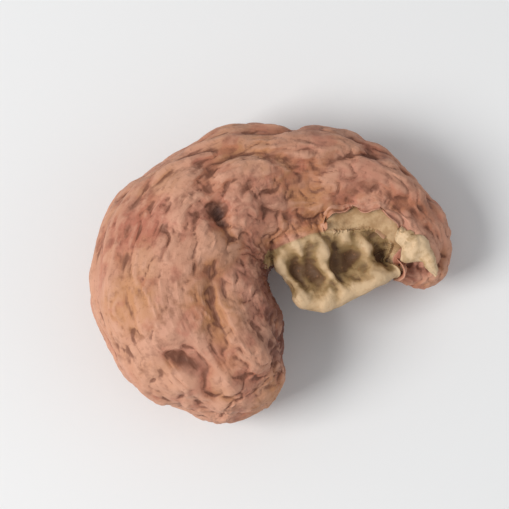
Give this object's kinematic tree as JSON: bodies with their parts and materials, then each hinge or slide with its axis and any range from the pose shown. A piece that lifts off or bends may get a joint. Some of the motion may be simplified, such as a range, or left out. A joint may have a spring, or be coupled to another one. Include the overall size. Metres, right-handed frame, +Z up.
{
  "type": "roasted cashew nut",
  "caption": "Whole roasted cashew nut with its brown skin on, curled round an open notch, lying on its flank.",
  "frame": {"origin": "on the surface that the nut lies on, below the middle of its box", "axes": "+X from the broad head to the narrow tail, +Y towards the rounded back, so that the notch opens towards -Y, and +Z up through the upper flank"},
  "size_m": [0.0242, 0.0184, 0.0116],
  "materials": {
    "roasted_skin": "matte, wrinkled, reddish brown roasted seed skin"
  },
  "bodies": {
    "root": {"cashew_nut": "roasted_skin"}
  },
  "joints": []
}
